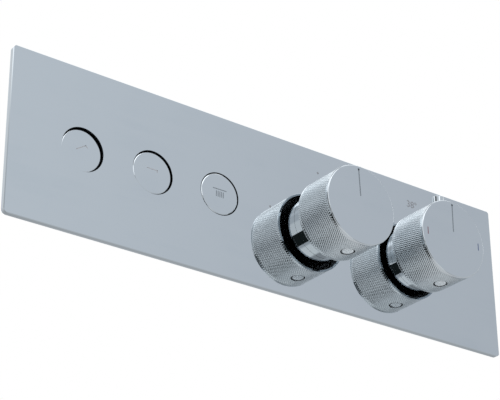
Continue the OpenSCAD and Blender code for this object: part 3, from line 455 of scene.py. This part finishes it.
finishes = {
    "chrome_plate": finish("chrome_plate", polished_chrome),
    "chrome_trim": finish("chrome_trim", plate_chrome_with_painted_hole_shade),
    "chrome_knurled": finish("chrome_knurled", knurled_chrome),
    "chrome_bored": finish("chrome_bored", bored_chrome),
}
print("chrome is ready")

# %% [markdown]
# ## The finishes inside the wall
# The body is cast, so its brass has a sandy skin. Turned brass shows fine rings from the
# lathe, galvanised sheet shows crystals of zinc, and moulded plastic has a fine grain.

# %% Brass, steel and copper
def cast_brass(graph):
    """Brass with the grain of the sand it was cast in, and a few darker stains."""
    grain = graph.noise(900, 5.0)
    stain = graph.noise(35, 4.0).smooth(0.35, 0.7)
    return {
        "Base Color": graph.blend(stain, rgb(0.72, 0.56, 0.28), rgb(0.58, 0.43, 0.20)),
        "Metallic": 1.0,
        "Roughness": 0.36 + grain * 0.2,
        "Normal": graph.bump(grain, 0.15 * mm, 0.5),
    }


def turned(light, dark):
    """Turned metal: rings that run round the piece's own axis, which points into the wall."""
    def recipe(graph):
        rings = graph.noise(2600, 1.0, graph.stretched((0.02, 1, 0.02)))
        stain = graph.noise(60, 3.0)
        return {
            "Base Color": graph.blend(stain * rings, light, dark),
            "Metallic": 1.0,
            "Roughness": 0.18 + rings * 0.14,
            "Normal": graph.bump(rings, 0.02 * mm, 0.4),
        }
    return recipe


def galvanised(graph):
    """Zinc coated sheet: each crystal has its own grey."""
    crystal = graph.add("ShaderNodeRGBToBW", None, {0: graph.cells(160, "Color")})
    edge = graph.noise(300, 3.0)
    return {
        "Base Color": graph.blend(crystal, rgb(0.55, 0.57, 0.59), rgb(0.70, 0.71, 0.72)),
        "Metallic": 0.95,
        "Roughness": 0.32 + edge * 0.2,
    }


def drawn_wire(graph):
    """Spring wire with faint lines from the die."""
    lines = graph.noise(500, 2.0, graph.stretched((1, 6, 1)))
    return {
        "Base Color": graph.blend(lines, rgb(0.66, 0.66, 0.67), rgb(0.52, 0.52, 0.54)),
        "Metallic": 1.0,
        "Roughness": 0.22 + lines * 0.15,
    }


finishes["cast_brass"] = finish("cast_brass", cast_brass)
# The two tints of each turned metal.
TURNED = {
    "turned_brass": (rgb(0.83, 0.66, 0.33), rgb(0.70, 0.54, 0.25)),
    "copper": (rgb(0.76, 0.44, 0.30), rgb(0.60, 0.32, 0.20)),
    "spool_metal": (rgb(0.72, 0.72, 0.73), rgb(0.60, 0.60, 0.62)),
    "stainless_steel": (rgb(0.70, 0.70, 0.71), rgb(0.56, 0.56, 0.58)),
}
for name, tints in TURNED.items():
    finishes[name] = finish(name, turned(*tints))
finishes["galvanised_steel"] = finish("galvanised_steel", galvanised)
finishes["spring_steel"] = finish("spring_steel", drawn_wire)
print("metals:", sorted(finishes))

# %% Plastic, rubber, foam and ceramic
def moulded(light, dark, roughness, grain_scale=1400, depth=0.03 * mm):
    """A moulded or pressed piece: a fine grain, and a tint that drifts a little over the piece."""
    def recipe(graph):
        grain = graph.noise(grain_scale, 3.0)
        drift = graph.noise(45, 2.0)
        return {
            "Base Color": graph.blend(drift, light, dark),
            "Roughness": roughness + grain * 0.12,
            "Normal": graph.bump(grain, depth, 0.5),
        }
    return recipe


def foam(graph):
    """Black foam with open pores, painted darker inside them as painted shade."""
    pores = graph.cells(900)
    # The pores are painted darker than the skin: painted shade.
    painted_pore_shade, skin = rgb(0.05, 0.05, 0.055), rgb(0.14, 0.14, 0.15)
    return {
        "Base Color": graph.blend(pores.smooth(0.1, 0.6), painted_pore_shade, skin),
        "Roughness": 0.95,
        "Normal": graph.bump(pores, 0.3 * mm, 0.7),
    }


# The two tints of each piece, its roughness, and the scale and depth of its grain.
MOULDED = {
    "white_plastic": (rgb(0.86, 0.86, 0.83), rgb(0.80, 0.80, 0.78), 0.38),
    "pale_plastic": (rgb(0.66, 0.69, 0.71), rgb(0.60, 0.63, 0.65), 0.3),
    "blue_plastic": (rgb(0.12, 0.28, 0.6), rgb(0.09, 0.22, 0.5), 0.4),
    "black_plastic": (rgb(0.012, 0.012, 0.014), rgb(0.02, 0.02, 0.022), 0.45),
    "black_rubber": (rgb(0.02, 0.02, 0.02), rgb(0.035, 0.035, 0.035), 0.7, 700),
    "ceramic": (rgb(0.88, 0.88, 0.85), rgb(0.83, 0.83, 0.8), 0.12, 2500, 0.01 * mm),
}
for name, look in MOULDED.items():
    finishes[name] = finish(name, moulded(*look))
finishes["foam"] = finish("foam", foam)
print("finishes:", len(finishes))

# %% Every solid gets its finish
for part in record["subparts"]:
    solid = frame["nodes"][part["node"]]
    solid.data.materials.clear()
    trim = part["node"] == "trim_plate"
    solid.data.materials.append(finishes["chrome_trim" if trim else part["material_slot"]])
print("dressed:", len(record["subparts"]), "solids in", len(finishes), "finishes")

# %% [markdown]
# ## Turned pieces
# Sleeves, caps, plugs and knobs are turned on a lathe, so here they are turned too: a profile
# is spun round an axis. Real edges are never knife sharp. Each corner of a profile is rounded a
# little, because that thin curve is what catches the light along an edge. A holding point beside
# each arc keeps the flat next to it truly flat, and a mirror shows every tenth of a degree.

# %% Rounded profiles
# A holding point lies this many radii from its corner.
HOLD = 1.5


def rounded(profile, radius, steps=3, closed=False):
    """Replaces each corner of a profile by a small arc with a holding point on each side."""
    points = [Vector(p) for p in profile]
    result = []
    for k, corner in enumerate(points):
        if not closed and k in (0, len(points) - 1):
            result.append(tuple(corner))
            continue
        before = points[k - 1] - corner
        after = points[(k + 1) % len(points)] - corner
        reach = min(radius, before.length * 0.3, after.length * 0.3)
        start = corner + before.normalized() * reach
        end = corner + after.normalized() * reach
        result.append(tuple(corner + before.normalized() * reach * HOLD))
        for s in range(steps + 1):
            t = s / steps
            point = start * (1 - t) ** 2 + corner * (2 * t * (1 - t)) + end * t ** 2
            result.append(tuple(point))
        result.append(tuple(corner + after.normalized() * reach * HOLD))
    return result


square = [(0, 0), (1, 0), (1, 1), (0, 1)]
print("points of a rounded square:", len(rounded(square, 0.1, closed=True)))

# %% A lathe for profiles
def make_piece(name, points, faces, material, smooth=True, slot=None, body=None):
    """Makes a mesh with outward faces; with a body, the piece rides on it."""
    mesh = bpy.data.meshes.new(name)
    mesh.from_pydata(points, [], faces)
    mesh.materials.append(finishes[material])
    mesh.polygons.foreach_set("use_smooth", [smooth] * len(mesh.polygons))
    mesh.validate()
    shape = bmesh.new()
    shape.from_mesh(mesh)
    bmesh.ops.recalc_face_normals(shape, faces=shape.faces)
    shape.to_mesh(mesh)
    shape.free()
    piece = bpy.data.objects.new(name, mesh)
    bpy.context.collection.objects.link(piece)
    if body:
        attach(piece, body)
        slot or material
    return piece


def spin(rows, columns, closed):
    """Faces between rings of points; a ring of one point closes an end."""
    faces = []
    pairs = list(zip(rows, rows[1:]))
    if closed:
        pairs.append((rows[-1], rows[0]))
    for low, high in pairs:
        for i in range(columns):
            j = (i + 1) % columns
            if len(low) == 1:
                faces.append((low[0], high[j], high[i]))
            elif len(high) == 1:
                faces.append((low[i], low[j], high[0]))
            else:
                faces.append((low[i], low[j], high[j], high[i]))
    return faces


def lathe(profile, to_space, columns=128, closed=False):
    """Spins a profile of (radius, height) and returns points and faces."""
    points, rows = [], []
    for radius, height in profile:
        count = 1 if radius == 0 else columns
        rows.append(range(len(points), len(points) + count))
        for i in range(count):
            a = 2 * math.pi * i / columns
            points.append(to_space(radius * math.cos(a), radius * math.sin(a), height))
    return points, spin(rows, columns, closed)


def facing(x, z=0):
    """A lathe axis that points into the wall at x, z."""
    return lambda u, v, height: (x + u, height, z + v)


def upward(x, y, sign=1):
    """A lathe axis that points up at x, y, or down when the sign is -1."""
    return lambda u, v, height: (x + u, y - sign * v, sign * height)


SHARP = math.radians(32)


def crisp(piece):
    """Keeps true edges sharp on a smoothly shaded piece."""
    piece.data.set_sharp_from_angle(angle=SHARP)
    return piece


print("the lathe is ready")

# %% [markdown]
# ## Springs
# A spring has one end on a piece that stays and the other on a piece that moves. A rigid spring
# would poke through the moving one. Here each spring is copied whole in place of its CAD solid,
# and the places one coil in from each end are worked out; the copy stays one rigid piece.

# %% Copies of the springs
COIL = 0.8 * mm


def sprung(node, axis, fixed_at):
    """Copies a spring in place of its CAD solid; the places one coil in from each end are worked
    out but not used.
    """
    low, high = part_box(node)
    far = max(low[axis], high[axis], key=lambda end: abs(end - fixed_at))
    inward = COIL if far > fixed_at else -COIL
    start, end = middle(node), middle(node)
    start[axis], end[axis] = fixed_at + inward, far - inward
    mesh = frame["nodes"][node].data.copy()
    mesh.transform(frame["nodes"][node].matrix_world)
    piece = bpy.data.objects.new(node + "_coil", mesh)
    bpy.context.collection.objects.link(piece)
    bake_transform(piece)
    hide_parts(node)


for joint in record["behaviour"]["joints"]:
    for spring in joint.get("deforming_nodes", ()):
        letter = spring["mode"][-1]
        sprung(spring["node"], "xyz".index(letter), spring[f"fixed_end_{letter}_m"])
        print(spring["node"], "follows", joint["name"])

# %% [markdown]
# ## Sleeves
# Between the plate and each knob stands a polished tube. It is short, but it carries the
# brightest reflections of the picture, so it is spun again here with many more facets.

# %% Sleeves
def sleeve(node):
    """Turns a sleeve again, with rounded ends."""
    low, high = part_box(node)
    x, _, z = middle(node)
    r = (high[0] - low[0]) / 2
    wall = 1.6 * mm
    corners = [(r, low[1]), (r, high[1]), (r - wall, high[1]), (r - wall, low[1])]
    profile = rounded(corners, 0.2 * mm, closed=True)
    points, faces = lathe(profile, facing(x, z), columns=192, closed=True)
    piece = crisp(make_piece(node + "_turned", points, faces, "chrome_plate", body="valve"))
    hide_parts(node)
    return x, r


for node in ("flow_sleeve", "temperature_sleeve"):
    x, r = sleeve(node)
    print(node, "at", round(x / mm, 1), "radius", round(r / mm, 2))

# %% [markdown]
# ## Push buttons
# Each button is a cup with a flat polished top. Its edge falls away in two steps. The first step is
# nearly flat and draws the thin bright line, and the gap round the cap draws the dark one.

# %% Push buttons
cap_faces = {}
CAP_PLAY = 0.05 * mm


def button_cap(name):
    """Turns a button's cap; returns where its face lies."""
    node = name + "_cap"
    low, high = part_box(node)
    x, _, z = middle(node)
    r = (high[0] - low[0]) / 2 - CAP_PLAY
    y, back_y = low[1], high[1]
    face_r, step_r = r - 0.6 * mm, r - 0.2 * mm
    step_y, side_y = y + 0.14 * mm, y + 0.34 * mm
    wall = 1.5 * mm
    boss_r, bore_r, boss_y = 4.6 * mm, 2.6 * mm, y + 5.4 * mm
    profile = rounded([
        (0, y), (face_r, y), (step_r, step_y), (r, side_y),
        (r, back_y), (r - wall, back_y), (r - wall, y + wall),
        (boss_r, y + wall), (boss_r, boss_y), (bore_r, boss_y), (bore_r, y + wall), (0, y + wall),
    ], 0.09 * mm)
    points, faces = lathe(profile, facing(x, z), columns=160)
    piece = make_piece(node + "_turned", points, faces, "chrome_plate", body=name + "_push")
    crisp(piece)
    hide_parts(node)
    return x, y


for name in BUTTONS:
    cap_faces[name] = button_cap(name)
    print(name, "face at y", round(cap_faces[name][1] / mm, 2))

# %% [markdown]
# ## Knobs
# The grip is a diamond knurl: two sets of grooves lean 30 degrees to either side of the axis and
# leave diamonds that are long along it. Their tops keep the curve of the barrel, so they mirror
# like the sleeve, and their sides look elsewhere. The grooves meet at every second point of a grid,
# like the dark squares of a chess board. Each diamond stands between four such points.

# %% The knurl
KNURL_COUNT = 114
KNURL_ROWS = 11
KNURL_DEPTH = 0.17 * mm
KNURL_TOP = 0.5
COLUMNS = 2 * KNURL_COUNT


def knurl(points, y0, y1, r, axis):
    """Adds the diamonds between y0 and y1 and returns their faces, with the first and last ring."""
    steps = 2 * KNURL_ROWS

    def add(column, row, radius):
        a = 2 * math.pi * column / COLUMNS
        y = y0 + (y1 - y0) * row / steps
        points.append(axis(radius * math.cos(a), radius * math.sin(a), y))
        return len(points) - 1

    grid = {}
    for j in range(steps + 1):
        for i in range(COLUMNS):
            if j in (0, steps) or (i + j) % 2 == 0:
                grid[i, j] = add(i, j, r - KNURL_DEPTH)
    faces = []
    for j in range(1, steps):
        for i in range((j + 1) % 2, COLUMNS, 2):
            corners = [(i - 1, j), (i, j - 1), (i + 1, j), (i, j + 1)]
            low = [grid[column % COLUMNS, row] for column, row in corners]
            top = [
                add(i + (column - i) * KNURL_TOP, j + (row - j) * KNURL_TOP, r)
                for column, row in corners
            ]
            faces.append(tuple(top))
            faces += [(low[k], low[(k + 1) % 4], top[(k + 1) % 4], top[k]) for k in range(4)]
    for j, row in ((0, 1), (steps, steps - 1)):
        for i in range(0, COLUMNS, 2):
            peak, after = grid[i + 1, row], (i + 2) % COLUMNS
            faces += [(grid[i, j], grid[i + 1, j], peak), (grid[i + 1, j], grid[after, j], peak)]
    first, last = [[grid[i, j] for i in range(COLUMNS)] for j in (0, steps)]
    return first, last, faces


print("diamonds on each knob:", KNURL_COUNT * (2 * KNURL_ROWS - 1))

# %% Holes in the knobs
COUNTERSINK = 0.25 * mm
PLUG_HOLE_R, PLUG_HOLE_DEPTH = 4.3 * mm, 2.95 * mm
SAFETY_HOLE_R = 3.85 * mm


def cut(piece, cutter):
    """Takes the cutter away from the piece and keeps the result as its mesh."""
    modifier = piece.modifiers.new("cut", "BOOLEAN")
    modifier.operation = "DIFFERENCE"
    modifier.solver = "EXACT"
    modifier.material_mode = "TRANSFER"
    modifier.object = cutter
    bpy.context.view_layer.update()
    graph = bpy.context.evaluated_depsgraph_get()
    result = bpy.data.meshes.new_from_object(piece.evaluated_get(graph))
    piece.modifiers.clear()
    piece.data = result
    bpy.data.objects.remove(cutter)


def drill(x, y, sign, r, floor, rim_r):
    """A cutter that sinks a hole with a small countersink into the barrel."""
    top = rim_r + 4 * mm
    profile = [
        (0, floor), (r, floor), (r, rim_r - COUNTERSINK),
        (r + COUNTERSINK, rim_r), (r + COUNTERSINK, top), (0, top),
    ]
    points, faces = lathe(profile, upward(x, y, sign), columns=64)
    return make_piece("drill", points, faces, "chrome_bored")


print("hole across in mm:", round(2 * PLUG_HOLE_R / mm, 2))

# %% The barrel of a knob
RECESS_R, RECESS_DEPTH = 23.6 * mm, 8.5 * mm
WEB = 2.4 * mm


def barrel(name):
    """Spins the face, lays the knurl round the barrel and closes the back."""
    low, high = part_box(name)
    x, _, z = middle(name)
    r = (high[0] - low[0]) / 2
    front, rear = low[1] + 0.02 * mm, high[1]
    edge, rim = 0.75 * mm, 0.55 * mm
    recess_y = rear - RECESS_DEPTH
    axis = facing(x, z)
    turns = [math.radians(15 * k) for k in range(7)]
    before = [(0, front), (r - 1.2 * edge, front)]
    before += [(r - edge + edge * math.sin(t), front + edge - edge * math.cos(t)) for t in turns]
    before += [(r, front + edge + rim)]
    points, faces = lathe(before, axis, COLUMNS)
    last_ring = range(len(points) - COLUMNS, len(points))
    start, end = front + edge + rim + 0.05 * mm, rear - 0.45 * mm
    first, last, band = knurl(points, start, end, r, axis)
    after = rounded([
        (r, end + 0.05 * mm), (r, rear - 0.25 * mm), (r - 0.25 * mm, rear), (RECESS_R, rear),
        (RECESS_R, recess_y), (0, recess_y),
    ], 0.1 * mm)
    more, after_faces = lathe(after, axis, COLUMNS)
    base = len(points)
    points += more
    next_ring = range(base, base + COLUMNS)
    faces += spin([last_ring, first], COLUMNS, False) + spin([last, next_ring], COLUMNS, False)
    smooth_count = len(faces) + len(after_faces)
    faces += [tuple(base + k for k in face) for face in after_faces]
    faces += band
    piece = make_piece(name + "_knurled", points, faces, "chrome_plate")
    piece.data.materials.append(finishes["chrome_knurled"])
    for k, polygon in enumerate(piece.data.polygons):
        polygon.use_smooth = k < smooth_count
        polygon.material_index = 0 if k < smooth_count else 1
    return piece, r, front


print("recess in mm:", round(RECESS_DEPTH / mm, 1), "deep,", round(2 * RECESS_R / mm, 1), "across")

# %% Knobs
def knob(name, body):
    """A barrel with its holes drilled, on the body that turns with it."""
    x = middle(name)[0]
    piece, r, front = barrel(name)
    plug_y = middle(name + "_plug")[1]
    cut(piece, drill(x, plug_y, -1, PLUG_HOLE_R, r - PLUG_HOLE_DEPTH, r))
    if name == "temperature_knob":
        safety_y = middle("safety_button")[1]
        cut(piece, drill(x, safety_y, 1, SAFETY_HOLE_R, RECESS_R - WEB, r))
    crisp(piece)
    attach(piece, body)
    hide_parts(name)
    print(name, "faces:", len(piece.data.polygons), "radius:", round(r / mm, 2))
    return x, front


knob_faces = {
    "flow": knob("flow_knob", "flow_control"),
    "temperature": knob("temperature_knob", "temperature_control"),
}

# %% [markdown]
# ## Plugs and the push piece
# A pale plug hides the screw under each knob. It is narrower than its hole, so a dark gap runs
# round it. The push piece on top of the right knob frees the stop at 38 degrees.

# %% Plugs and the push piece
PLUG_GAP = 0.65 * mm
PLUG_STANDS_OUT = 1.1 * mm


def knob_plug(node, body):
    """Turns a plug: a pin that carries a flat head with a soft edge."""
    low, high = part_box(node)
    x, y, _ = middle(node)
    r = (high[0] - low[0]) / 2 - PLUG_GAP
    top, bottom = -low[2] + PLUG_STANDS_OUT, -high[2]
    pin_r, under = 1.6 * mm, top - 1.5 * mm
    profile = rounded([
        (0, bottom), (pin_r, bottom), (pin_r, under), (r, under),
        (r, top - 0.35 * mm), (r - 0.4 * mm, top - 0.05 * mm), (0, top),
    ], 0.12 * mm)
    points, faces = lathe(profile, upward(x, y, -1), columns=96)
    piece = make_piece(
        node + "_turned", points, faces, "pale_plastic", slot="white_plastic", body=body
    )
    crisp(piece)
    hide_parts(node)


def push_piece(node, body):
    """Turns the push piece: a stem with a wider head."""
    low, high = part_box(node)
    x, y, _ = middle(node)
    r = (high[0] - low[0]) / 2
    top, bottom = high[2], low[2]
    stem_r, shoulder = 1.4 * mm, bottom + 1.5 * mm
    profile = rounded([
        (0, bottom), (stem_r, bottom), (stem_r, shoulder), (r, shoulder),
        (r, top - 0.4 * mm), (r - 0.4 * mm, top), (0, top),
    ], 0.12 * mm)
    points, faces = lathe(profile, upward(x, y), columns=96)
    piece = make_piece(node + "_turned", points, faces, "chrome_plate", body=body)
    crisp(piece)
    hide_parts(node)


knob_plug("flow_knob_plug", "flow_control")
knob_plug("temperature_knob_plug", "temperature_control")
push_piece("safety_button", "safety_release")
print("plugs and push piece are in place")

# %% [markdown]
# ## Marks
# The marks are printed or etched: a pointer on each knob, a red and a blue tick, two dots for the
# flow, 38° over the right knob and a pictogram on each button. A print is a thin film, so each is
# a very thin solid that stands a hundredth or two of a millimetre proud of its surface.

# %% Inks
def ink(light, dark):
    """A printed or etched mark: dull, with a fine speckle."""
    def recipe(graph):
        speck = graph.noise(2200, 2.0)
        return {
            "Base Color": graph.blend(speck, light, dark),
            "Roughness": 0.42 + speck * 0.1,
        }
    return recipe


INKS = {
    "grey_ink": (rgb(0.17, 0.19, 0.21), rgb(0.13, 0.15, 0.17)),
    "pale_ink": (rgb(0.26, 0.265, 0.28), rgb(0.23, 0.235, 0.25)),
    "etched": (rgb(0.33, 0.32, 0.33), rgb(0.30, 0.29, 0.30)),
    "red_ink": (rgb(0.16, 0.03, 0.05), rgb(0.13, 0.025, 0.04)),
    "blue_ink": (rgb(0.035, 0.06, 0.17), rgb(0.025, 0.05, 0.14)),
}
for name, tints in INKS.items():
    finishes[name] = finish(name, ink(*tints))
print("inks:", sorted(INKS))

# %% Thin prints
FILM = 0.015 * mm
SINK = 0.05 * mm


def film(name, outlines, y, material, slot, body):
    """Thin prints on a surface that faces the user: each outline is a list of x, z points."""
    points, faces = [], []
    for outline in outlines:
        n, base = len(outline), len(points)
        points += [(x, y - FILM, z) for x, z in outline] + [(x, y + SINK, z) for x, z in outline]
        faces.append(tuple(base + k for k in range(n)))
        faces.append(tuple(base + n + k for k in reversed(range(n))))
        for k in range(n):
            after = (k + 1) % n
            faces.append((base + k, base + n + k, base + n + after, base + after))
    return make_piece(name, points, faces, material, False, slot, body)


def stroke(x0, z0, x1, z1, width, steps=5):
    """A line with round ends."""
    along = Vector((x1 - x0, z1 - z0)).normalized()
    side = math.atan2(along.y, along.x)
    outline = []
    for end_x, end_z, offset in ((x1, z1, -math.pi / 2), (x0, z0, math.pi / 2)):
        for k in range(steps + 1):
            a = side + offset + math.pi * k / steps
            outline.append((end_x + width / 2 * math.cos(a), end_z + width / 2 * math.sin(a)))
    return outline


def dot(x, z, r, steps=20):
    """A round mark."""
    angles = [2 * math.pi * k / steps for k in range(steps)]
    return [(x + r * math.cos(a), z + r * math.sin(a)) for a in angles]


print("a print stands proud by", FILM / mm, "mm")

# %% Pointers, ticks and dots
POINTER_WIDTH, DOT_R = 0.75 * mm, 0.75 * mm
# Foot and tip of each pointer, across and up from the knob's axis, in mm.
POINTERS = {"flow": (-0.3, 5.7, -1.05, 22.4), "temperature": (0.45, 5.0, 0.65, 22.6)}
for name, (x, y) in knob_faces.items():
    foot_x, foot_z, tip_x, tip_z = [v * mm for v in POINTERS[name]]
    pointer = [
        stroke(x + foot_x, foot_z, x + tip_x, tip_z, POINTER_WIDTH),
        dot(x + tip_x, tip_z, DOT_R),
    ]
    film(name + "_pointer", pointer, y, "grey_ink", "chrome_knurled", name + "_control")

x, y = knob_faces["temperature"]
TICK_AT, TICK_HALF, TICK_WIDTH = 20.3 * mm, 2.1 * mm, 0.6 * mm
for tick, side, colour in (("hot_tick", -1, "red_ink"), ("cold_tick", 1, "blue_ink")):
    tick_x = x + side * TICK_AT
    tick_line = stroke(tick_x, -TICK_HALF, tick_x, TICK_HALF, TICK_WIDTH)
    film(tick, [tick_line], y, colour, "chrome_knurled", "temperature_control")

flow_x = knob_faces["flow"][0]
OFF_DOT, FULL_DOT = (-1.5, 35.2), (-37.8, 2.5)
dots = [dot(flow_x + x * mm, z * mm, DOT_R) for x, z in (OFF_DOT, FULL_DOT)]
film("flow_dots", dots, PLATE_Y, "pale_ink", "chrome_plate", "valve")
print("pointers, ticks and dots are in place")

# %% The number over the right knob
STROKE_GAIN = 0.06 * mm


def number(text, x, z, height):
    """Lettering as a mesh on the plate's face."""
    curve = bpy.data.curves.new("number", "FONT")
    curve.body = text
    curve.size = height
    curve.align_x = "CENTER"
    curve.align_y = "CENTER"
    curve.extrude = FILM
    curve.offset = STROKE_GAIN
    lettering = bpy.data.objects.new("number", curve)
    upright = Matrix.Rotation(math.pi / 2, 4, "X")
    lettering.matrix_world = Matrix.Translation((x, PLATE_Y, z)) @ upright
    bpy.context.collection.objects.link(lettering)
    bpy.context.view_layer.update()
    graph = bpy.context.evaluated_depsgraph_get()
    mesh = bpy.data.meshes.new_from_object(lettering.evaluated_get(graph))
    mesh.transform(lettering.matrix_world)
    mesh.materials.clear()
    mesh.materials.append(finishes["pale_ink"])
    piece = bpy.data.objects.new("temperature_number", mesh)
    bpy.context.collection.objects.link(piece)
    bpy.data.objects.remove(lettering)
    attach(piece, "valve")
    return piece


temperature_x = knob_faces["temperature"][0]
label = number("38°", temperature_x - 0.9 * mm, 35.5 * mm, 6.3 * mm)
print("number has", len(label.data.polygons), "faces")

# %% Pictograms on the buttons
def icon(name, lines, width=0.45 * mm, colour="etched"):
    """Draws lines on a cap; each has the x, z of its ends in mm from the cap's middle."""
    x, y = cap_faces[name]
    outlines = [stroke(x + a * mm, b * mm, x + c * mm, d * mm, width) for a, b, c, d in lines]
    film(name + "_icon", outlines, y, colour, "chrome_plate", name + "_push")


head = (-4.3, 2.9, 4.7, 2.9)
rays = [(k * 1.2 - 2.1, 1.5, k * 1.2 - 2.1, -1.7) for k in range(5)]
icon("overhead_shower", [head] + rays, 0.55 * mm, "grey_ink")
icon("bath_spout", [(-3.3, 2.4, 3.4, 2.4), (3.4, 2.4, 3.4, 1.2)])
icon("hand_shower", [(-3.1, 0.1, 2.7, 3.85), (2.7, 3.85, 3.9, 2.6)])
print("pictograms are in place")
